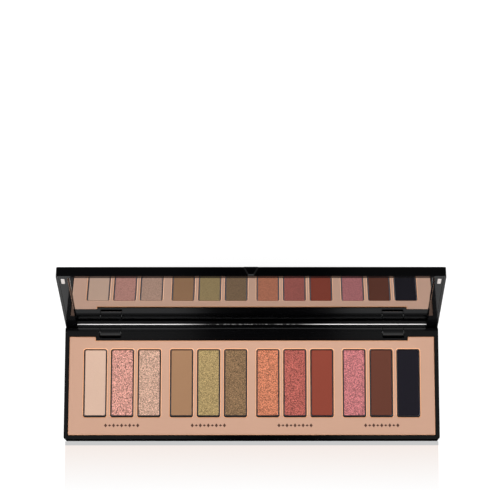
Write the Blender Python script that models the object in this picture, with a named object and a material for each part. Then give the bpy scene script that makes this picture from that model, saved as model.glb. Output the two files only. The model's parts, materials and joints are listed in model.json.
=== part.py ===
"""Eyeshadow palette: a slim mirrored compact with twelve pressed powders, standing open.

Frame: +Z up, +X along the long side, -Y towards the user. The origin is the centre of the base's
underside. Sizes are in millimetres until a mesh is made, and the meshes are in metres.

The base's pieces are drawn in that frame. The lid's pieces are drawn shut, in the frame of an empty
on the hinge axis, and the rotation of the empty opens them.
"""

import math

import bmesh
import bpy

MM = 0.001

# The case
WIDTH = 187.0
DEPTH = 57.0
CORNER_RADIUS = 1.0
BASE_RIM_Z = 7.9
BASE_FLOOR = 1.2
BASE_SIDE_RIM = 2.0
BASE_FRONT_RIM = 1.96
LID_THICKNESS = 5.0
LID_WALL = 1.3
LID_SKIN = 1.5
CLOSED_GAP = 0.2  # between the two rims when the lid is shut

# The hinge
AXIS_FROM_BACK = 2.6
KNUCKLE_RADIUS = 2.5
KNUCKLE_ENDS = (65.8, 76.1)  # of each of the lid's two knuckles, from the middle
KNUCKLE_END_GAP = 0.3
KNUCKLE_FRONT_GAP = 0.8
BAR_FRONT = 3.3  # from the hinge axis to the front of the base's bar
BAR_HOLLOW_HALF = 58.0  # the bar is hollow inside, and open to the cavity
BAR_WALL = 2.0
OPEN_ANGLE = 106.2  # of the lid as drawn, from shut
STOP_ANGLE = 110.0  # where the lid leans on the base
PIN_RADIUS = 0.75
PIN_INNER_END = 60.0
PIN_RECESS = 0.3  # how deep a pin's end sits in the base's side
BASE_BORE_RADIUS = 0.80
BASE_BORE_END = 59.5
KNUCKLE_BORE_RADIUS = 0.85
HEEL_Z = 1.0  # height of the base's foot behind the hinge

# The face plate and what it holds
PLATE_DROP = 0.35  # from the base's rim down to the plate
PLATE_THICKNESS = 0.6
PLATE_NOTCH_HALF = 78.25
PLATE_BACK_CENTRE = 4.57  # from the hinge axis, between the ears
PLATE_BACK_EARS = 2.67  # from the hinge axis, at the ears
GROUPS = 4
PANS_IN_GROUP = 3
GROUP_PITCH = 43.14
PAN_PITCH = 13.5
OPENING_WIDTH = 11.62
OPENING_LENGTH = 34.5
OPENING_CORNER = 1.0
OPENINGS_FROM_AXIS = 26.13  # from the hinge axis to the middle of the row
PAN_WIDTH = 11.0
PAN_LENGTH = 33.6
PAN_WALL = 0.25
PAN_SHIFT = 0.3  # the pans sit this far behind the middle of their openings
PAN_RIM_DROP = 0.45  # from the plate's top down to a pan's rim
POWDER_DROP = 0.15  # from a pan's rim down to its powder
WELL_SLACK = 0.15  # round each pan
WELL_FLOOR_Z = 3.0
TRAY_WALL = 1.2  # left round the hollow under the tray

# The mirror and its frame
FRAME_SIDE_RIM = 5.5  # from the lid's side to the mirror
FRAME_FRONT_RIM = 2.11  # from the lid's front to the mirror
MIRROR_DROP = 1.87  # from the lid's rim down to the mirror
MIRROR_THICKNESS = 1.3
MIRROR_BEVEL = 0.5
MIRROR_BEVEL_DEPTH = 0.3
TAPE_INSET = 1.8
TAPE_THICKNESS = 0.25

# The magnets
MAGNET_SIZE = (1.8, 5.0, 1.5)
MAGNET_FROM_SIDE = 3.05  # from the case's side to the middle of a magnet
MAGNET_FROM_AXIS = 48.8

# The thumb tab, at the middle of the lid's front wall
TAB_ROOT_WIDTHS = (2.8, 7.6)  # at the wall: near the rim, near the outer face
TAB_FACE_WIDTHS = (2.0, 6.4)
TAB_PROUD = 0.7
TAB_RIM_GAP = 0.3  # from the lid's rim up to the tab
TAB_TOP_GAP = 0.1  # from the tab up to the lid's outer face
TAB_CHAMFER = 0.35  # half as much on the side towards the outer face

FIT = 0.1  # gap round a piece that drops into another
LAY = 0.05  # gap under a piece that rests on another
CORNER_STEPS = 4
ROUND_STEPS = 24
CUT = 1.0  # how far a cutter runs past the surface it opens
ROOT = 0.5  # how far a joined shape runs into the other

# Places that follow from the sizes
HALF_WIDTH = WIDTH / 2
FRONT_Y = -DEPTH / 2
BACK_Y = DEPTH / 2
AXIS_Y = BACK_Y - AXIS_FROM_BACK
AXIS_Z = BASE_RIM_Z - KNUCKLE_RADIUS
CAVITY_HALF = HALF_WIDTH - BASE_SIDE_RIM
CAVITY_FRONT_Y = FRONT_Y + BASE_FRONT_RIM
PLATE_TOP_Z = BASE_RIM_Z - PLATE_DROP
SHELF_Z = PLATE_TOP_Z - PLATE_THICKNESS - LAY
TROUGH_Y = AXIS_Y - KNUCKLE_RADIUS - KNUCKLE_FRONT_GAP
CAVITY_BACK_Y = AXIS_Y - PLATE_BACK_CENTRE + FIT
PAN_RIM_Z = PLATE_TOP_Z - PAN_RIM_DROP
POWDER_TOP_Z = PAN_RIM_Z - POWDER_DROP
ROW_Y = AXIS_Y - OPENINGS_FROM_AXIS
PANS_Y = ROW_Y + PAN_SHIFT

# Places in the lid's frame, whose origin is on the hinge axis
LID_RIM_Z = KNUCKLE_RADIUS + CLOSED_GAP
LID_TOP_Z = LID_RIM_Z + LID_THICKNESS
LID_CEILING_Z = LID_TOP_Z - LID_SKIN
LID_FRONT_Y = FRONT_Y - AXIS_Y
LID_BACK_Y = BACK_Y - AXIS_Y
FRAME_FACE_Z = LID_RIM_Z + LAY
MIRROR_FACE_Z = LID_RIM_Z + MIRROR_DROP
WINDOW_HALF = HALF_WIDTH - FRAME_SIDE_RIM
WINDOW_FRONT_Y = LID_FRONT_Y + FRAME_FRONT_RIM
WINDOW_BACK_Y = 0.0


def arc(centre, radius, start, end, steps):
    """Points along an arc, with its angles in degrees and both ends included."""
    angles = [math.radians(start + (end - start) * step / steps) for step in range(steps + 1)]
    return [(centre[0] + radius * math.cos(a), centre[1] + radius * math.sin(a)) for a in angles]


def rectangle(x_low, x_high, y_low, y_high, radius=0.0):
    """The outline of a rectangle, with rounded corners where a radius is given."""
    if not radius:
        return [(x_high, y_high), (x_low, y_high), (x_low, y_low), (x_high, y_low)]
    corners = (
        (x_high - radius, y_high - radius),
        (x_low + radius, y_high - radius),
        (x_low + radius, y_low + radius),
        (x_high - radius, y_low + radius),
    )
    outline = []
    for quarter, centre in enumerate(corners):
        outline += arc(centre, radius, 90 * quarter, 90 * quarter + 90, CORNER_STEPS)
    return outline


def centred(x, y, width, length, radius=0.0):
    """The outline of a rectangle about its middle."""
    return rectangle(x - width / 2, x + width / 2, y - length / 2, y + length / 2, radius)


def stepped(half, notch_half, front, ears, centre):
    """The outline of a rectangle across the case, whose back edge steps in between two ears."""
    right = [(half, front), (half, ears), (notch_half, ears), (notch_half, centre)]
    return right + [(-x, y) for x, y in reversed(right)]


def circle(centre, radius):
    return arc(centre, radius, 0, 360 - 360 / ROUND_STEPS, ROUND_STEPS - 1)


def loft(levels, axis="Z", mesh=None):
    """A closed body through outlines of equal length, each at its height along the axis."""
    place = {
        "X": lambda u, v, w: (w, u, v),
        "Y": lambda u, v, w: (u, w, v),
        "Z": lambda u, v, w: (u, v, w),
    }[axis]
    mesh = mesh or bmesh.new()
    rings = [
        [mesh.verts.new([MM * c for c in place(u, v, height)]) for u, v in outline]
        for outline, height in levels
    ]
    faces = [mesh.faces.new(rings[0]), mesh.faces.new(rings[-1])]
    count = len(rings[0])
    for low, high in zip(rings, rings[1:]):
        for i in range(count):
            j = (i + 1) % count
            faces.append(mesh.faces.new((low[i], low[j], high[j], high[i])))
    bmesh.ops.recalc_face_normals(mesh, faces=faces)
    return mesh


def prism(outline, low, high, axis="Z", mesh=None):
    return loft([(outline, low), (outline, high)], axis, mesh)


def finish(name, color, roughness, metallic=0.0):
    made = bpy.data.materials.new(name)
    made.use_nodes = True
    shader = made.node_tree.nodes["Principled BSDF"]
    shader.inputs["Base Color"].default_value = (*color, 1.0)
    shader.inputs["Roughness"].default_value = roughness
    shader.inputs["Metallic"].default_value = metallic
    return made


def add(name, mesh, material=None, parent=None):
    data = bpy.data.meshes.new(name)
    mesh.to_mesh(data)
    mesh.free()
    made = bpy.data.objects.new(name, data)
    made.parent = parent
    bpy.context.scene.collection.objects.link(made)
    if material:
        data.materials.append(material)
    return made


def combine(piece, operation, name, mesh):
    """Cuts the piece with a mesh, or joins a mesh to it. The mesh stays as a hidden helper."""
    helper = add(f"{piece.name}_{name}", mesh, parent=piece.parent)
    helper.hide_render = True
    helper.display_type = "WIRE"
    boolean = piece.modifiers.new(name, "BOOLEAN")
    boolean.operation = operation
    boolean.solver = "EXACT"
    boolean.object = helper


def cut(piece, name, mesh):
    combine(piece, "DIFFERENCE", name, mesh)


def join(piece, name, mesh):
    combine(piece, "UNION", name, mesh)


def sides():
    return (("left", -1), ("right", 1))


def span(side, near, far):
    """The range of X between two distances from the middle, on one side."""
    return sorted((side * near, side * far))


def pan_places():
    """The middles of the pans along X, from the left."""
    for group in range(GROUPS):
        middle = GROUP_PITCH * (group - (GROUPS - 1) / 2)
        for pan in range(PANS_IN_GROUP):
            yield middle + PAN_PITCH * (pan - (PANS_IN_GROUP - 1) / 2)


def block_back():
    """The base behind the hinge axis, from the rim down to the heel, as (y, z).

    The top rounds over the axis, so the lid's rim clears it at every angle. Below that a flat face
    leans in, and the lid's rim lies along it at the stop.
    """
    stop = math.radians(STOP_ANGLE)
    points = arc((AXIS_Y, AXIS_Z), KNUCKLE_RADIUS, 90, 90 - STOP_ANGLE, ROUND_STEPS // 2)
    last_y, last_z = points[-1]
    run = (last_z - HEEL_Z) / math.sin(stop)
    return points + [(last_y + run * math.cos(stop), HEEL_Z)]


def bores(radius, near, far, centre):
    """A bore for each hinge pin, as one mesh."""
    mesh = bmesh.new()
    for _, side in sides():
        prism(circle(centre, radius), *span(side, near, far), axis="X", mesh=mesh)
    return mesh


def make_base_shell(material):
    outline = rectangle(-HALF_WIDTH, HALF_WIDTH, FRONT_Y, BACK_Y, CORNER_RADIUS)
    shell = add("base_shell", prism(outline, 0.0, BASE_RIM_Z), material)
    above = BASE_RIM_Z + CUT
    cavity = rectangle(-CAVITY_HALF, CAVITY_HALF, CAVITY_FRONT_Y, CAVITY_BACK_Y)
    cut(shell, "cavity", prism(cavity, BASE_FLOOR, above))
    shelf = stepped(
        half=CAVITY_HALF,
        notch_half=PLATE_NOTCH_HALF - FIT,
        front=CAVITY_FRONT_Y,
        ears=AXIS_Y - PLATE_BACK_EARS + FIT,
        centre=AXIS_Y - BAR_FRONT,
    )
    cut(shell, "shelf", prism(shelf, SHELF_Z, above))
    hollow = rectangle(-BAR_HOLLOW_HALF, BAR_HOLLOW_HALF, CAVITY_BACK_Y - CUT, BACK_Y - BAR_WALL)
    cut(shell, "bar_hollow", prism(hollow, BASE_FLOOR, BASE_RIM_Z - BAR_WALL))
    near, far = KNUCKLE_ENDS
    troughs = bmesh.new()
    for _, side in sides():
        reach = span(side, near - KNUCKLE_END_GAP, far + KNUCKLE_END_GAP)
        prism(rectangle(*reach, TROUGH_Y, BACK_Y + CUT), BASE_FLOOR, above, mesh=troughs)
    cut(shell, "troughs", troughs)
    behind = [(BACK_Y + CUT, HEEL_Z), (BACK_Y + CUT, above), (AXIS_Y, above)]
    ends = (-HALF_WIDTH - CUT, HALF_WIDTH + CUT)
    cut(shell, "back", prism(block_back() + behind, *ends, axis="X"))
    cut(shell, "bores", bores(BASE_BORE_RADIUS, BASE_BORE_END, HALF_WIDTH + CUT, (AXIS_Y, AXIS_Z)))


def make_pan_tray(material):
    half = CAVITY_HALF - FIT
    back_y = CAVITY_BACK_Y - FIT
    outline = rectangle(-half, half, CAVITY_FRONT_Y + FIT, back_y)
    tray = add("pan_tray", prism(outline, BASE_FLOOR + LAY, SHELF_Z), material)
    wells = bmesh.new()
    width = PAN_WIDTH + 2 * WELL_SLACK
    length = PAN_LENGTH + 2 * WELL_SLACK
    for x in pan_places():
        well = centred(x, PANS_Y, width, length, OPENING_CORNER)
        prism(well, WELL_FLOOR_Z, SHELF_Z + CUT, mesh=wells)
    cut(tray, "wells", wells)
    hollow = rectangle(
        TRAY_WALL - half,
        half - TRAY_WALL,
        CAVITY_FRONT_Y + FIT + TRAY_WALL,
        PANS_Y - length / 2 - TRAY_WALL,
    )
    cut(tray, "hollow", prism(hollow, BASE_FLOOR - CUT, SHELF_Z - MAGNET_SIZE[2] - TRAY_WALL))
    notches = bmesh.new()
    magnet_x = HALF_WIDTH - MAGNET_FROM_SIDE
    magnet_y = AXIS_Y - MAGNET_FROM_AXIS
    inner = magnet_x - MAGNET_SIZE[0] / 2 - FIT
    reach = MAGNET_SIZE[1] / 2 + FIT
    floor = SHELF_Z - MAGNET_SIZE[2] - 2 * LAY
    for _, side in sides():
        notch = rectangle(*span(side, inner, half + CUT), magnet_y - reach, magnet_y + reach)
        prism(notch, floor, SHELF_Z + CUT, mesh=notches)
    cut(tray, "magnet_notches", notches)


def make_face_plate(material):
    outline = stepped(
        half=CAVITY_HALF - FIT,
        notch_half=PLATE_NOTCH_HALF,
        front=CAVITY_FRONT_Y + FIT,
        ears=AXIS_Y - PLATE_BACK_EARS,
        centre=AXIS_Y - PLATE_BACK_CENTRE,
    )
    body = prism(outline, PLATE_TOP_Z - PLATE_THICKNESS, PLATE_TOP_Z)
    plate = add("face_plate", body, material)
    openings = bmesh.new()
    for x in pan_places():
        opening = centred(x, ROW_Y, OPENING_WIDTH, OPENING_LENGTH, OPENING_CORNER)
        prism(opening, SHELF_Z - CUT, PLATE_TOP_Z + CUT, mesh=openings)
    cut(plate, "openings", openings)


def make_pans(metal, powders):
    floor = WELL_FLOOR_Z + LAY
    inner_width = PAN_WIDTH - 2 * PAN_WALL
    inner_length = PAN_LENGTH - 2 * PAN_WALL
    for number, (x, powder) in enumerate(zip(pan_places(), powders), start=1):
        outline = centred(x, PANS_Y, PAN_WIDTH, PAN_LENGTH, OPENING_CORNER)
        inside = centred(x, PANS_Y, inner_width, inner_length, OPENING_CORNER - PAN_WALL)
        pan = add(f"pan_{number:02d}", prism(outline, floor, PAN_RIM_Z), metal)
        cut(pan, "inside", prism(inside, floor + PAN_WALL, PAN_RIM_Z + CUT))
        cake = centred(
            x,
            PANS_Y,
            inner_width - 2 * LAY,
            inner_length - 2 * LAY,
            OPENING_CORNER - PAN_WALL,
        )
        body = prism(cake, floor + PAN_WALL + LAY, POWDER_TOP_Z)
        add(f"powder_{number:02d}", body, powder)


def make_hinge_pins(material):
    """Two steel pins, pushed in from the case's sides through the knuckles into the bar."""
    for name, side in sides():
        reach = span(side, PIN_INNER_END, HALF_WIDTH - PIN_RECESS)
        section = circle((AXIS_Y, AXIS_Z), PIN_RADIUS)
        add(f"hinge_pin_{name}", prism(section, *reach, axis="X"), material)


def magnet(name, side, y, low, material, parent=None):
    outline = centred(side * (HALF_WIDTH - MAGNET_FROM_SIDE), y, *MAGNET_SIZE[:2])
    add(name, prism(outline, low, low + MAGNET_SIZE[2]), material, parent)


def make_base_magnets(material):
    for name, side in sides():
        low = SHELF_Z - MAGNET_SIZE[2] - LAY
        magnet(f"base_magnet_{name}", side, AXIS_Y - MAGNET_FROM_AXIS, low, material)


def knuckle_profile():
    """A hinge knuckle with the skirt that carries it, as (y, z) about the hinge axis."""
    round_part = arc((0.0, 0.0), KNUCKLE_RADIUS, 90, 360, ROUND_STEPS)
    wall_y = LID_BACK_Y - LID_WALL + LAY
    skirt = [
        (KNUCKLE_RADIUS, LID_RIM_Z + ROOT),
        (wall_y, LID_RIM_Z + ROOT),
        (wall_y, LID_RIM_Z - LAY),
        (0.0, LID_RIM_Z - LAY),
    ]
    return round_part + skirt


def tab_body():
    """A wedge with chamfered sides, narrow near the rim, that a thumb lifts the lid by."""
    root_low, root_high = (width / 2 for width in TAB_ROOT_WIDTHS)
    face_low, face_high = (width / 2 for width in TAB_FACE_WIDTHS)
    low, high = LID_RIM_Z + TAB_RIM_GAP, LID_TOP_Z - TAB_TOP_GAP
    root = [(-root_low, low), (root_low, low), (root_high, high), (-root_high, high)]
    low, high = low + TAB_CHAMFER, high - TAB_CHAMFER / 2
    face = [(-face_low, low), (face_low, low), (face_high, high), (-face_high, high)]
    levels = [(root, LID_FRONT_Y + ROOT), (root, LID_FRONT_Y), (face, LID_FRONT_Y - TAB_PROUD)]
    return loft(levels, axis="Y")


def make_lid_shell(material, hinge):
    outline = rectangle(-HALF_WIDTH, HALF_WIDTH, LID_FRONT_Y, LID_BACK_Y, CORNER_RADIUS)
    shell = add("lid_shell", prism(outline, LID_RIM_Z, LID_TOP_Z), material, hinge)
    half = HALF_WIDTH - LID_WALL
    inside = rectangle(-half, half, LID_FRONT_Y + LID_WALL, LID_BACK_Y - LID_WALL)
    cut(shell, "inside", prism(inside, LID_RIM_Z - CUT, LID_CEILING_Z))
    near, far = KNUCKLE_ENDS
    for name, side in sides():
        knuckle = prism(knuckle_profile(), *span(side, near, far), axis="X")
        join(shell, f"knuckle_{name}", knuckle)
    join(shell, "tab", tab_body())
    cut(shell, "bores", bores(KNUCKLE_BORE_RADIUS, near - CUT, far + CUT, (0.0, 0.0)))


def make_lid_frame(material, hinge):
    half = HALF_WIDTH - LID_WALL - FIT
    front_y = LID_FRONT_Y + LID_WALL + FIT
    back_y = LID_BACK_Y - LID_WALL - FIT
    outline = rectangle(-half, half, front_y, back_y)
    frame = add("lid_frame", prism(outline, FRAME_FACE_Z, LID_CEILING_Z - LAY), material, hinge)
    window = rectangle(-WINDOW_HALF, WINDOW_HALF, WINDOW_FRONT_Y, WINDOW_BACK_Y)
    cut(frame, "window", prism(window, LID_RIM_Z - CUT, LID_TOP_Z + CUT))
    pockets = bmesh.new()
    size = [side + 2 * FIT for side in MAGNET_SIZE[:2]]
    deep = FRAME_FACE_Z + MAGNET_SIZE[2] + 2 * LAY
    for _, side in sides():
        pocket = centred(side * (HALF_WIDTH - MAGNET_FROM_SIDE), -MAGNET_FROM_AXIS, *size)
        prism(pocket, LID_RIM_Z - CUT, deep, mesh=pockets)
    cut(frame, "magnet_pockets", pockets)


def make_mirror(glass, tape, hinge):
    def outline(inset):
        x = WINDOW_HALF - inset
        return rectangle(-x, x, WINDOW_FRONT_Y + inset, WINDOW_BACK_Y - inset)

    levels = [
        (outline(FIT + MIRROR_BEVEL), MIRROR_FACE_Z),
        (outline(FIT), MIRROR_FACE_Z + MIRROR_BEVEL_DEPTH),
        (outline(FIT), MIRROR_FACE_Z + MIRROR_THICKNESS),
    ]
    add("mirror", loft(levels), glass, hinge)
    high = LID_CEILING_Z - LAY
    add("mirror_tape", prism(outline(TAPE_INSET), high - TAPE_THICKNESS, high), tape, hinge)


def make_lid_magnets(material, hinge):
    for name, side in sides():
        low = FRAME_FACE_Z + LAY
        magnet(f"lid_magnet_{name}", side, -MAGNET_FROM_AXIS, low, material, hinge)


def make_hinge_frame():
    """The empty on the hinge axis that holds the lid's pieces open."""
    hinge = bpy.data.objects.new("lid_hinge_axis", None)
    bpy.context.scene.collection.objects.link(hinge)
    hinge.location = (0.0, AXIS_Y * MM, AXIS_Z * MM)
    hinge.rotation_euler = (-math.radians(OPEN_ANGLE), 0.0, 0.0)
    return hinge


def powder_materials():
    """The twelve shades from the left, as linear colours, each matte or with a metallic shimmer."""
    matte, shimmer = (0.9, 0.0), (0.45, 0.4)
    shades = (
        ("sand", (0.72, 0.50, 0.38), matte),
        ("rose", (0.68, 0.24, 0.20), shimmer),
        ("champagne", (0.61, 0.37, 0.26), shimmer),
        ("tan", (0.39, 0.22, 0.12), matte),
        ("olive_gold", (0.40, 0.33, 0.11), shimmer),
        ("bronze", (0.22, 0.13, 0.05), shimmer),
        ("copper", (0.72, 0.26, 0.13), shimmer),
        ("coral", (0.46, 0.10, 0.08), shimmer),
        ("brick", (0.28, 0.05, 0.03), matte),
        ("mauve", (0.61, 0.14, 0.20), shimmer),
        ("chocolate", (0.14, 0.05, 0.03), matte),
        ("midnight", (0.02, 0.02, 0.03), matte),
    )
    return [finish(name, color, *surface) for name, color, surface in shades]


def main():
    for old in list(bpy.data.objects):
        bpy.data.objects.remove(old)

    gloss_black = finish("gloss_black_plastic", (0.01, 0.01, 0.012), 0.12)
    satin_black = finish("satin_black_plastic", (0.015, 0.015, 0.016), 0.4)
    rose_gold = finish("rose_gold_satin", (0.62, 0.39, 0.29), 0.35, 0.6)
    steel = finish("steel", (0.6, 0.6, 0.6), 0.3, 1.0)
    nickel = finish("nickel", (0.62, 0.6, 0.57), 0.3, 1.0)
    silvered_glass = finish("silvered_glass", (0.9, 0.9, 0.9), 0.02, 1.0)
    foam_tape = finish("foam_tape", (0.8, 0.8, 0.78), 0.9)

    make_base_shell(gloss_black)
    make_pan_tray(satin_black)
    make_face_plate(rose_gold)
    make_pans(steel, powder_materials())
    make_base_magnets(nickel)
    make_hinge_pins(steel)

    hinge = make_hinge_frame()
    make_lid_shell(gloss_black, hinge)
    make_lid_frame(gloss_black, hinge)
    make_mirror(silvered_glass, foam_tape, hinge)
    make_lid_magnets(nickel, hinge)


main()
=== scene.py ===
"""The looks of the eyeshadow palette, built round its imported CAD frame.

The cases keep their CAD shapes and get rounded edges. The plate, pans, powders, mirror and magnets
are made again here with their fine edges. The lid's new pieces are drawn shut, in a frame on the
hinge axis, and turned open.
"""

import json
import math

import bmesh
import bpy
from mathutils import Matrix, Vector


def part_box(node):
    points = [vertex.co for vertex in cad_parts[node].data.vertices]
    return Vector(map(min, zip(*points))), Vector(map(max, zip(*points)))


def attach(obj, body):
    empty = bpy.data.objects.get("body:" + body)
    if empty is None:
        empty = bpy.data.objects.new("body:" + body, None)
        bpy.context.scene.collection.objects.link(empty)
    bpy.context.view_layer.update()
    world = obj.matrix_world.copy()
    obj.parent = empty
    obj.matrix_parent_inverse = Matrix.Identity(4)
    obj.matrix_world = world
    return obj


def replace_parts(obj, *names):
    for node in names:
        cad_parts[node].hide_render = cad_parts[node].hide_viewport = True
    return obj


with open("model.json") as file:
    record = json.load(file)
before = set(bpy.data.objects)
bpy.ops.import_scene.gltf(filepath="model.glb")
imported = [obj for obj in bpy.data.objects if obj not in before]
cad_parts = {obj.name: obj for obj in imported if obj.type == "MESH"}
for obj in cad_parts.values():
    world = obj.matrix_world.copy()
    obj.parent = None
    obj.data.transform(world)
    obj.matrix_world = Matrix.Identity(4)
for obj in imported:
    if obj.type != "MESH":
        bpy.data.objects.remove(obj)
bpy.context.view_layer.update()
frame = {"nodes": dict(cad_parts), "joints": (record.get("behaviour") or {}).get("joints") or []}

MM = 0.001
NODES = frame["nodes"]
HINGE = frame["joints"][0]
HINGE_PLACE = Vector(HINGE["pos_m"])
SHUT_ANGLE = math.radians(HINGE["range_deg"][0])
TURN_OPEN = Matrix.Rotation(-SHUT_ANGLE, 4, Vector(HINGE["axis"]))
LID = Matrix.Translation(HINGE_PLACE) @ TURN_OPEN  # takes the shut lid's frame to the part's

PAN_COUNT = 12
PANS_IN_GROUP = 3
OPENING_CORNER = 1.1 * MM
PAN_CORNER = 0.95 * MM
POWDER_CORNER = 0.7 * MM
PAN_WALL = 0.25 * MM
FLAKE_SIZE = 0.26 * MM

# The printed ornament in front of each group of pans
MARKS_IN_ROW = 9
MARK_PITCH = 2.0 * MM
MARK_HALF_WIDTH = 0.8 * MM
MARK_HALF_HEIGHTS = (1.0 * MM, 0.6 * MM)  # in turn along the row
MARK_THICKNESS = 0.02 * MM
MARKS_FROM_FRONT = 4.85 * MM  # from the plate's front edge

# Smoothness of the meshes
CORNER_STEPS = 6
ROUND_STEPS = 4
CREASE = math.radians(40)  # a sharper edge than this stays sharp
LEAST_RADIUS = 0.02 * MM

# The camera: a long lens that looks steeply down from the user's side
ELEVATION = math.radians(80.174)
ROLL = math.radians(-0.02)
DISTANCE = 957.98 * MM
AIM = Vector((7.826, -11.326, 0.0)) * MM  # from the middle of the hinge axis
LENS = 137.44
SHIFT = (-0.0348, 0.2090)

# The softboxes, one at each side and towards the user: metres and watts
SOFTBOX_PLACE = (0.8, -0.4, 0.75)
SOFTBOX_SIZE = (1.1, 0.5)
LEFT_POWER = 10.2
RIGHT_POWER = 8.3

# Linear colours: what the mirror reflects, and the table's faint painted reflection of the wall and
# the plate
MIRROR_COLOR = (0.58, 0.585, 0.59)
WALL_IMAGE_COLOR = (0.58, 0.58, 0.58, 1)
PLATE_IMAGE_COLOR = (0.91, 0.83, 0.79, 1)

# Surface colours, in sRGB steps of 255
PLATE_RGB = (211, 166, 141)
# painted highlight colour for the plate's rounded edges
PLATE_EDGE_HIGHLIGHT_RGB = (250, 180, 130)
INK_RGB = (80, 48, 36)
POWDERS = (  # each with how strongly it shimmers
    ("powder_sand", (206, 174, 154), 0.0),
    ("powder_rose", (209, 150, 136), 1.5),
    ("powder_champagne", (203, 164, 143), 1.15),
    ("powder_tan", (156, 119, 89), 0.0),
    ("powder_olive_gold", (170, 146, 98), 1.0),
    ("powder_bronze", (136, 107, 76), 1.2),
    ("powder_copper", (201, 124, 92), 1.25),
    ("powder_coral", (175, 92, 82), 1.4),
    ("powder_brick", (134, 63, 49), 0.0),
    ("powder_mauve", (193, 117, 119), 1.3),
    ("powder_chocolate", (96, 55, 43), 0.0),
    ("powder_midnight", (24, 22, 30), 0.0),
)


# ---------------------------------------------------------------- places


def shut_box(node):
    """The lowest and highest corner of a lid node, in the shut lid's frame."""
    to_shut = LID.inverted()
    points = [to_shut @ vertex.co for vertex in NODES[node].data.vertices]
    low = Vector([min(p[i] for p in points) for i in range(3)])
    high = Vector([max(p[i] for p in points) for i in range(3)])
    return low, high


def rounded(low, high, radius):
    """A function that gives a rectangle's outline at an inset, its corners rounded."""

    def outline(inset):
        r = max(radius - inset, LEAST_RADIUS)
        x_low, x_high = low[0] + inset + r, high[0] - inset - r
        y_low, y_high = low[1] + inset + r, high[1] - inset - r
        corners = ((x_high, y_high), (x_low, y_high), (x_low, y_low), (x_high, y_low))
        points = []
        for quarter, (x, y) in enumerate(corners):
            for step in range(CORNER_STEPS + 1):
                angle = math.pi / 2 * (quarter + step / CORNER_STEPS)
                points.append((x + r * math.cos(angle), y + r * math.sin(angle)))
        return points

    return outline


def mitred(points):
    """A function that gives an anticlockwise polygon at an inset, its corners left sharp."""

    def outline(inset):
        moved = []
        for i, here in enumerate(points):
            before, after = Vector(points[i - 1]), Vector(points[(i + 1) % len(points)])
            arriving = (Vector(here) - before).normalized()
            leaving = (after - Vector(here)).normalized()
            inward = Vector((-arriving.y - leaving.y, arriving.x + leaving.x))
            reach = inset * 2 / inward.length_squared
            moved.append(tuple(Vector(here) + inward * reach))
        return moved

    return outline


def arc(inset, z, radius, start, end, steps=ROUND_STEPS):
    """Part of a profile: points (inset, z) round a centre, with angles in degrees from outward."""
    angles = [math.radians(start + (end - start) * i / steps) for i in range(steps + 1)]
    return [(inset - radius * math.cos(a), z + radius * math.sin(a)) for a in angles]


# ---------------------------------------------------------------- meshes


def ring(mesh, outline, z):
    return [mesh.verts.new((x, y, z)) for x, y in outline]


def wall(mesh, rings):
    for low, high in zip(rings, rings[1:]):
        for i in range(len(low)):
            j = (i + 1) % len(low)
            mesh.faces.new((low[i], low[j], high[j], high[i]))


def swept(outline, profile):
    """A closed body: the outline at each (inset, z) of the profile, with its two ends capped."""
    mesh = bmesh.new()
    rings = [ring(mesh, outline(inset), z) for inset, z in profile]
    wall(mesh, rings)
    mesh.faces.new(rings[0])
    mesh.faces.new(rings[-1])
    return mesh


def sheet(outer, holes, profile):
    """A closed flat body with holes, whose edges all have the profile."""
    mesh = bmesh.new()
    ends = ([], [])
    for outline, sign in [(outer, 1)] + [(hole, -1) for hole in holes]:
        rings = [ring(mesh, outline(sign * inset), z) for inset, z in profile]
        wall(mesh, rings)
        for loop, found in zip((rings[0], rings[-1]), ends):
            count = len(loop)
            found += [mesh.edges.get((loop[i], loop[(i + 1) % count])) for i in range(count)]
    for edges in ends:
        bmesh.ops.triangle_fill(mesh, edges=edges, use_beauty=True)
    return mesh


def slab_profile(low, high, radius, stretch=1.0):
    """The edge of a slab from z low to z high, rounded at both faces, and stretched inwards."""
    bottom = arc(radius, low + radius, radius, -90, 0)
    points = bottom + arc(radius, high - radius, radius, 0, 90)
    return [(inset * stretch, z) for inset, z in points]


def add(name, mesh, material):
    """Puts a mesh in the scene as an object."""
    data = bpy.data.meshes.new(name)
    mesh.to_mesh(data)
    mesh.free()
    data.materials.append(material)
    made = bpy.data.objects.new(name, data)
    bpy.context.scene.collection.objects.link(made)
    return made


def piece(name, mesh, material, body, at=None):
    """Adds a mesh as a piece that rides on a body."""
    bmesh.ops.recalc_face_normals(mesh, faces=mesh.faces)
    made = add(name, mesh, material)
    if at:
        made.data.transform(at)
    smooth(made)
    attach(made, body)
    return made


def smooth(made):
    """Smooth shading that keeps the flat faces flat."""
    made.data.shade_smooth()
    made.data.set_sharp_from_angle(angle=CREASE)
    weighted = made.modifiers.new("even_shading", "WEIGHTED_NORMAL")
    weighted.keep_sharp = True


def refine(node, material, width, steps=3):
    """Rounds the edges of a CAD node as it is shown, and gives it its material."""
    shown = NODES[node]
    shown.data.materials.clear()
    shown.data.materials.append(material)
    weld = shown.modifiers.new("weld", "WELD")
    weld.merge_threshold = 0.001 * MM
    flat = shown.modifiers.new("flat_faces", "DECIMATE")
    flat.decimate_type = "DISSOLVE"
    flat.angle_limit = math.radians(0.5)
    bevel = shown.modifiers.new("rounded_edges", "BEVEL")
    bevel.width = width
    bevel.segments = steps
    bevel.limit_method = "ANGLE"
    bevel.angle_limit = CREASE
    bevel.harden_normals = False
    smooth(shown)


# ---------------------------------------------------------------- materials


def linear(rgb):
    """A linear colour from sRGB steps of 255."""
    shares = [step / 255 for step in rgb]
    return [s / 12.92 if s <= 0.04045 else ((s + 0.055) / 1.055) ** 2.4 for s in shares]


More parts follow.
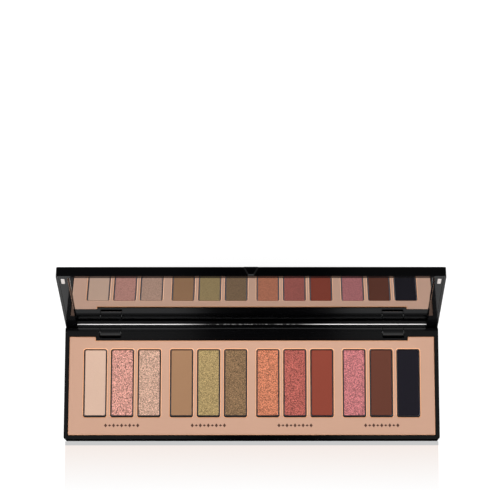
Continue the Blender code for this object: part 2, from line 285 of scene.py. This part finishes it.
class Nodes:
    """A node tree, with short calls for the nodes that the looks share."""

    def __init__(self, tree):
        self.tree = tree

    def node(self, kind, inputs=None, **settings):
        made = self.tree.nodes.new("ShaderNode" + kind)
        for key, value in settings.items():
            setattr(made, key, value)
        for key, value in (inputs or {}).items():
            if isinstance(value, bpy.types.NodeSocket):
                self.tree.links.new(value, made.inputs[key])
            else:
                made.inputs[key].default_value = value
        return made

    def math(self, operation, *values):
        return self.node("Math", dict(enumerate(values)), operation=operation).outputs[0]

    def spread(self, value, low, high, start=0.0, end=1.0):
        """Maps start to end onto low to high."""
        inputs = {"Value": value, "From Min": start, "From Max": end, "To Min": low, "To Max": high}
        return self.node("MapRange", inputs).outputs["Result"]

    def along(self, axis, vector):
        """One component of a vector."""
        return self.node("SeparateXYZ", {0: vector}).outputs[axis]

    def mix(self, factor, first, second):
        """The first colour where the factor is 0, and the second where it is 1."""
        inputs = {0: factor, "A": first, "B": second}
        return self.node("Mix", inputs, data_type="RGBA").outputs["Result"]

    def seen_by_camera(self):
        """1 where the camera looks straight at the surface, and 0 in light and reflections."""
        return self.node("LightPath").outputs["Is Camera Ray"]


class Look(Nodes):
    """A material of one Principled shader."""

    def __init__(self, name, **values):
        self.material = bpy.data.materials.new(name)
        self.material.use_nodes = True
        super().__init__(self.material.node_tree)
        self.shader = self.tree.nodes["Principled BSDF"]
        for key, value in values.items():
            self.shader.inputs[key.replace("_", " ")].default_value = value
        self.position = self.node("TexCoord").outputs["Object"]

    def set(self, key, socket):
        self.tree.links.new(socket, self.shader.inputs[key])

    def seen_from_behind(self):
        """0 where the surface is seen from the front or from above, rising to 1 from behind."""
        towards_eye = self.along("Y", self.node("NewGeometry").outputs["Incoming"])
        return self.spread(towards_eye, 0.0, 1.0, start=0.1, end=0.6)

    def noise(self, size, detail=2.0, stretch=(1.0, 1.0, 1.0)):
        """Smooth noise with features of about the size, from 0 to 1."""
        moved = self.node("Mapping", {"Vector": self.position, "Scale": stretch})
        inputs = {"Vector": moved.outputs[0], "Scale": 1 / size, "Detail": detail}
        return self.node("TexNoise", inputs).outputs["Fac"]

    def tint(self, color, factor):
        """The colour made lighter or darker by the factor."""
        shade = self.node("VectorMath", {0: color, "Scale": factor}, operation="SCALE")
        return shade.outputs["Vector"]

    def bump(self, height, distance, strength=1.0):
        inputs = {"Height": height, "Distance": distance, "Strength": strength}
        self.set("Normal", self.node("Bump", inputs).outputs["Normal"])


def gloss_black():
    """Polished black plastic, with the faint smears that handling leaves."""
    look = Look("gloss_black", Base_Color=(0.0015, 0.0015, 0.0018, 1))
    look.set("Roughness", look.spread(look.noise(14 * MM, 4), 0.04, 0.1))
    return look.material


def satin_black():
    look = Look("satin_black", Base_Color=(0.008, 0.008, 0.009, 1))
    look.set("Roughness", look.spread(look.noise(3 * MM, 4), 0.35, 0.5))
    look.bump(look.noise(0.15 * MM), 0.01 * MM)
    return look.material


def rose_gold():
    """Metallised satin plate with a very fine grain along its length, under a clear lacquer. Its
    rounded edges carry a painted highlight.
    """
    look = Look("rose_gold", Metallic=0.2, Coat_Weight=1.0, Coat_Roughness=0.3)
    grain = look.noise(0.25 * MM, 3, stretch=(0.06, 1.0, 1.0))
    cloud = look.noise(30 * MM, 2)
    shade = look.math("MULTIPLY", look.spread(grain, 0.96, 1.04), look.spread(cloud, 0.98, 1.02))
    # painted highlight: where the surface tilts away from upright, at the rounded edges, the colour
    # turns a lighter orange
    upright = look.along("Z", look.node("NewGeometry").outputs["Normal"])
    edge = look.spread(upright, 1.0, 0.0, start=0.95, end=0.995)
    color = look.mix(edge, (*linear(PLATE_RGB), 1), (*linear(PLATE_EDGE_HIGHLIGHT_RGB), 1))
    look.set("Base Color", look.tint(color, shade))
    look.set("Roughness", look.spread(grain, 0.34, 0.46))
    look.bump(grain, 0.004 * MM)
    return look.material


def ink():
    look = Look("ink", Roughness=0.5)
    shade = look.spread(look.noise(0.3 * MM), 0.9, 1.1)
    look.set("Base Color", look.tint(linear(INK_RGB), shade))
    return look.material


def metal(name, rgb, roughness, size, metallic=1.0):
    """Plain metal whose polish varies over features of the size."""
    look = Look(name, Metallic=metallic)
    patch = look.noise(size, 3)
    look.set("Base Color", look.tint(linear(rgb), look.spread(patch, 0.92, 1.06)))
    look.set("Roughness", look.spread(patch, roughness * 0.8, roughness * 1.2))
    look.bump(look.noise(0.1 * MM), 0.002 * MM)
    return look.material


def mirror_silver():
    look = Look("mirror_silver", Metallic=1.0)
    haze = look.noise(20 * MM, 3)
    look.set("Base Color", look.tint(MIRROR_COLOR, look.spread(haze, 0.99, 1.01)))
    look.set("Roughness", look.spread(haze, 0.0, 0.012))
    return look.material


def glass_edge_painted_glow():
    """The mirror's ground lower edge, with a painted highlight: a glow that only the camera sees,
    bright towards the ends and dim in the middle, with painted glint spots between.
    """
    look = Look("glass_edge_painted_glow", Roughness=0.4)
    sideways = look.math("ABSOLUTE", look.along("X", look.position))
    side = look.spread(sideways, 0.0, 1.0, start=22 * MM, end=38 * MM)
    # painted glint spots: noise that lights patches of the dim middle
    painted_glint_spots = look.spread(look.noise(0.9 * MM, 1), 0.01, 0.2, start=0.45, end=0.6)
    # painted highlight in base colour and emission, for camera rays only
    bright = look.math("MULTIPLY", look.math("MAXIMUM", side, painted_glint_spots), look.seen_by_camera())
    look.set("Base Color", look.tint((0.97, 0.95, 0.94), bright))
    # the edge glows, though it is no lamp: painted light
    look.shader.inputs["Emission Color"].default_value = (1, 0.98, 0.97, 1)
    look.set("Emission Strength", look.spread(bright, 0.0, 0.32))
    return look.material


def foam_tape():
    look = Look("foam_tape", Roughness=0.9)
    cells = look.noise(0.4 * MM, 3)
    look.set("Base Color", look.tint((0.75, 0.74, 0.72), look.spread(cells, 0.85, 1.05)))
    look.bump(cells, 0.03 * MM)
    return look.material


def pressed_powder(name, rgb, shimmer):
    """Compacted powder. Shimmer gives flakes their own roughness and tilt, and paints them lighter
    and darker in the colour as painted sparkle; from behind the sparkle is weaker and the colour is
    painted darker.
    """
    look = Look(name)
    cloud = look.spread(look.noise(6 * MM, 2), 0.985, 1.015)
    if shimmer:
        cells = look.node("TexVoronoi", {"Vector": look.position, "Scale": 1 / FLAKE_SIZE})
        level = look.node("SeparateColor", {"Color": cells.outputs["Color"]})
        # painted sparkle: each flake's colour is moved up or down from the mean, less so when seen
        # from behind
        behind = look.seen_from_behind()
        swing = look.spread(behind, 0.65 * shimmer, 0.2 * shimmer)  # either way from the mean
        grain_and_sparkle = look.math("MULTIPLY_ADD", look.spread(level.outputs[0], -1, 1), swing, 1)
        # painted shade: seen from behind, the colour is made up to a fifth darker
        grain_and_sparkle = look.math("MULTIPLY", look.math("MAXIMUM", grain_and_sparkle, 0.05), look.spread(behind, 1, 0.8))
        look.shader.inputs["Metallic"].default_value = 0.25
        look.set("Roughness", look.spread(level.outputs[1], 0.35, 0.6))
        look.bump(cells.outputs["Distance"], 0.02 * MM, 0.6)
    else:
        grain = look.noise(0.3 * MM, 3)
        grain_and_sparkle = look.spread(grain, 0.9, 1.1)
        look.shader.inputs["Roughness"].default_value = 0.9
        look.shader.inputs["Specular IOR Level"].default_value = 0.15
        look.bump(grain, 0.02 * MM, 0.6)
    look.set("Base Color", look.tint(linear(rgb), look.math("MULTIPLY", cloud, grain_and_sparkle)))
    return look.material


# ---------------------------------------------------------------- the object


def make_cases():
    black = gloss_black()
    refine("base_shell", black, 0.3 * MM)
    refine("lid_shell", black, 0.3 * MM)
    refine("lid_frame", black, 0.15 * MM)
    refine("pan_tray", satin_black(), 0.1 * MM, steps=2)
    steel = metal("steel", (190, 190, 190), 0.3, 2 * MM)
    for side in ("left", "right"):
        refine(f"hinge_pin_{side}", steel, 0.15 * MM, steps=2)
    refine("mirror_tape", foam_tape(), 0.05 * MM, steps=1)


def pan_box(number):
    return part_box(f"pan_{number:02d}")


def opening(number):
    """The outline of the plate's opening round a pan, with the place read from the CAD plate."""
    low, high = pan_box(number)
    points = [vertex.co for vertex in NODES["face_plate"].data.vertices]
    x_all = [p.x for p in points if low.x - MM < p.x < high.x + MM]
    y_all = [p.y for p in points if low.y - MM < p.y < high.y + MM]
    return rounded((min(x_all), min(y_all)), (max(x_all), max(y_all)), OPENING_CORNER)


def plate_corners():
    """The plate's outline, read from its CAD node: anticlockwise from the front left."""
    low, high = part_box("face_plate")
    shape = NODES["face_plate"].data.vertices
    inner = [v.co for v in shape if low.y + MM < v.co.y < high.y - MM and v.co.x > 0]
    notch_y = max(p.y for p in inner)
    notch_x = min(v.co.x for v in shape if v.co.y > high.y - 0.1 * MM and v.co.x > 0)
    right = [(high.x, low.y), (high.x, high.y), (notch_x, high.y), (notch_x, notch_y)]
    left = [(-x, y) for x, y in reversed(right)]
    return left[-1:] + right + left[:-1]


def make_plate():
    low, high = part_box("face_plate")
    holes = [opening(number) for number in range(1, PAN_COUNT + 1)]
    profile = slab_profile(low.z, high.z, 0.25 * MM, stretch=2.4)
    mesh = sheet(mitred(plate_corners()), holes, profile)
    plate = piece("fine_face_plate", mesh, rose_gold(), "base")
    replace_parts(plate, "face_plate")


def make_pans():
    """The pressed pans, with a rounded foot and a rounded lip."""
    # painted shade: the pans' metal is made far darker than bare aluminium, so the gaps round the
    # powders read as dark
    darkened_tin = metal("pan_metal", (88, 88, 96), 0.3, 3 * MM)
    foot, lip = 0.3 * MM, PAN_WALL / 2
    for number in range(1, PAN_COUNT + 1):
        name = f"pan_{number:02d}"
        low, high = pan_box(number)
        profile = arc(foot, low.z + foot, foot, -90, 0)
        profile += arc(lip, high.z - lip, lip, 0, 180)
        profile += [(PAN_WALL, low.z + PAN_WALL)]
        mesh = swept(rounded(low, high, PAN_CORNER), profile)
        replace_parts(piece("fine_" + name, mesh, darkened_tin, "base"), name)


def make_powders():
    edge = 0.3 * MM
    for number, (slot, rgb, shimmer) in enumerate(POWDERS, start=1):
        name = f"powder_{number:02d}"
        low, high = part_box(name)
        profile = [(0, low.z)] + arc(edge, high.z - edge, edge, 0, 90)
        mesh = swept(rounded(low, high, POWDER_CORNER), profile)
        look = pressed_powder(slot, rgb, shimmer)
        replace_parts(piece("fine_" + name, mesh, look, "base"), name)


def make_mirror():
    """The glass with its ground border, drawn shut with its face down."""
    low, high = shut_box("mirror")
    border, depth, chamfer, corner = 0.6 * MM, 0.12 * MM, 0.05 * MM, 0.3 * MM
    profile = [(border, low.z), (chamfer, low.z + depth), (0, low.z + 2 * depth), (0, high.z)]
    mesh = swept(rounded(low, high, corner), profile)
    glass = piece("fine_mirror", mesh, mirror_silver(), "lid", at=LID)
    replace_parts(glass, "mirror")


def make_mirror_edge():
    """The glass's ground lower edge, as a thin strip that stands proud of the face."""
    low, high = shut_box("mirror")
    thickness, proud, corner, rounding = 0.2 * MM, 0.35 * MM, 0.08 * MM, 0.04 * MM
    outline = rounded((low.x, high.y - thickness), (high.x, high.y), corner)
    mesh = swept(outline, slab_profile(low.z - proud, low.z, rounding))
    piece("mirror_ground_edge", mesh, glass_edge_painted_glow(), "lid", at=LID)


def make_magnets():
    nickel = metal("nickel", (205, 200, 196), 0.4, 1.0 * MM, metallic=0.3)
    edge, corner = 0.2 * MM, 0.4 * MM
    for side in ("left", "right"):
        for body, find, at in (("base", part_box, None), ("lid", shut_box, LID)):
            name = f"{body}_magnet_{side}"
            low, high = find(name)
            mesh = swept(rounded(low, high, corner), slab_profile(low.z, high.z, edge))
            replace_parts(piece("fine_" + name, mesh, nickel, body, at=at), name)


def lozenge(x, y, half_width, half_height):
    """The outline of a lozenge. Its corners stay where they are at any inset."""
    points = ((x + half_width, y), (x, y + half_height), (x - half_width, y), (x, y - half_height))
    return lambda inset: points


def make_marks():
    """A printed ornament in front of each group: a row of lozenges, every other one small."""
    plate_low, plate_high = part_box("face_plate")
    material = ink()
    y = plate_low.y + MARKS_FROM_FRONT
    profile = [(0, plate_high.z), (0, plate_high.z + MARK_THICKNESS)]
    for group in range(PAN_COUNT // PANS_IN_GROUP):
        first = pan_box(group * PANS_IN_GROUP + 1)
        last = pan_box((group + 1) * PANS_IN_GROUP)
        middle = (first[0].x + last[1].x) / 2
        for number in range(MARKS_IN_ROW):
            x = middle + (number - (MARKS_IN_ROW - 1) / 2) * MARK_PITCH
            outline = lozenge(x, y, MARK_HALF_WIDTH, MARK_HALF_HEIGHTS[number % 2])
            mesh = swept(outline, profile)
            piece(f"mark_{group + 1}_{number + 1}", mesh, material, "base")


# ---------------------------------------------------------------- the studio


def make_floor():
    """A white sweep, lit so that only a faint shadow shows, and darker in reflections."""
    bpy.ops.mesh.primitive_circle_add(vertices=96, radius=6.0, fill_type="NGON")
    floor = bpy.context.object
    floor.name = "floor"
    floor.location.z = -0.02 * MM
    look = Look("floor", Roughness=0.8)
    camera = look.seen_by_camera()
    white = look.spread(look.noise(0.4), 0.97, 1.0)
    shade = look.math("MULTIPLY", white, look.spread(camera, 0.8, 0.3))
    look.set("Base Color", look.tint((1, 1, 1), shade))
    look.shader.inputs["Emission Color"].default_value = (1, 1, 1, 1)
    look.set("Emission Strength", look.spread(camera, 0.0, 0.9))
    floor.data.materials.append(look.material)


def front_card(name, reach, z, material):
    """A flat card on the floor along the base's front, which casts no light or shadow."""
    low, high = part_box("base_shell")
    mesh = bmesh.new()
    corners = ((low.x, low.y), (low.x, low.y - reach), (high.x, low.y - reach), (high.x, low.y))
    mesh.faces.new([mesh.verts.new((x, y, z)) for x, y in corners])
    card = add(name, mesh, material)
    card.visible_diffuse = False
    card.visible_shadow = False
    return card


def make_flag():
    """A narrow black card, which the case's front reflects in place of the floor."""
    black = Look("flag_black", Base_Color=(0, 0, 0, 1), Specular_IOR_Level=0).material
    front_card("flag", 6 * MM, 0, black).visible_camera = False


def make_painted_reflection():
    """A faint painted reflection of the base on the table, on a glowing card that only the camera
    sees: its dark wall, then the plate's glow fading out.
    """
    wall, reach = 2.0 * MM, 25 * MM
    look = Look("painted_table_reflection", Base_Color=(0, 0, 0, 1), Specular_IOR_Level=0)
    ahead = look.math("SUBTRACT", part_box("base_shell")[0].y, look.along("Y", look.position))
    past_wall = look.spread(ahead, 0.0, 1.0, start=wall, end=wall + 0.2 * MM)
    faded = look.spread(ahead, 0.0, 1.0, start=wall, end=reach)
    glow = look.mix(faded, PLATE_IMAGE_COLOR, (1, 1, 1, 1))
    # painted reflection: emitted colour, not light from the scene
    look.set("Emission Color", look.mix(past_wall, WALL_IMAGE_COLOR, glow))
    look.shader.inputs["Emission Strength"].default_value = 1.0
    front_card("reflection", reach, -0.01 * MM, look.material).visible_glossy = False


def softbox(name, side, power):
    """A large lamp aimed at the case, from the left for a side of -1 and from the right for 1."""
    aside, y, z = SOFTBOX_PLACE
    place = Vector((side * aside, y, z))
    data = bpy.data.lights.new(name, "AREA")
    data.shape = "RECTANGLE"
    data.size, data.size_y = SOFTBOX_SIZE
    data.energy = power
    lamp = bpy.data.objects.new(name, data)
    lamp.location = place
    lamp.rotation_euler = (-place).to_track_quat("-Z", "Y").to_euler()
    bpy.context.scene.collection.objects.link(lamp)


def make_world():
    """A dim room for reflections: a bright wall in front, and dark right over the camera."""
    world = bpy.data.worlds.new("studio")
    bpy.context.scene.world = world
    world.use_nodes = True
    room = Nodes(world.node_tree)
    direction = room.node("SeparateXYZ", {0: room.node("TexCoord").outputs["Generated"]}).outputs
    dim = room.spread(direction["Y"], 0.05, 0.47, start=0.6, end=-0.4)
    front_wall = room.spread(direction["Y"], 0.0, 0.5, start=-0.45, end=-0.65)
    sideways = room.math("ABSOLUTE", direction["X"])
    beside_camera = room.spread(sideways, 0.0, 1.0, start=0.03, end=0.045)
    below_camera = room.spread(direction["Z"], 1.0, 0.0, start=0.5, end=0.65)
    lit = room.math("MAXIMUM", beside_camera, below_camera)
    light = room.math("MULTIPLY", room.math("ADD", dim, front_wall), lit)
    backdrop = room.math("MULTIPLY", room.seen_by_camera(), 0.95)
    background = world.node_tree.nodes["Background"]
    background.inputs["Color"].default_value = (1, 1, 1, 1)
    world.node_tree.links.new(room.math("MAXIMUM", light, backdrop), background.inputs["Strength"])


def make_camera():
    data = bpy.data.cameras.new("camera")
    data.lens = LENS
    data.shift_x, data.shift_y = SHIFT
    camera = bpy.data.objects.new("camera", data)
    back = Vector((0, -math.cos(ELEVATION), math.sin(ELEVATION)))
    camera.location = HINGE_PLACE + AIM + back * DISTANCE
    turn = back.to_track_quat("Z", "Y").to_matrix().to_4x4()
    camera.rotation_euler = (turn @ Matrix.Rotation(ROLL, 4, "Z")).to_euler()
    bpy.context.scene.collection.objects.link(camera)
    bpy.context.scene.camera = camera


def make_studio():
    make_floor()
    make_flag()
    make_painted_reflection()
    make_world()
    softbox("softbox_left", -1, LEFT_POWER)
    softbox("softbox_right", 1, RIGHT_POWER)
    make_camera()
    bpy.context.scene.view_settings.view_transform = "Standard"


make_cases()
make_plate()
make_pans()
make_powders()
make_mirror()
make_mirror_edge()
make_magnets()
make_marks()
make_studio()
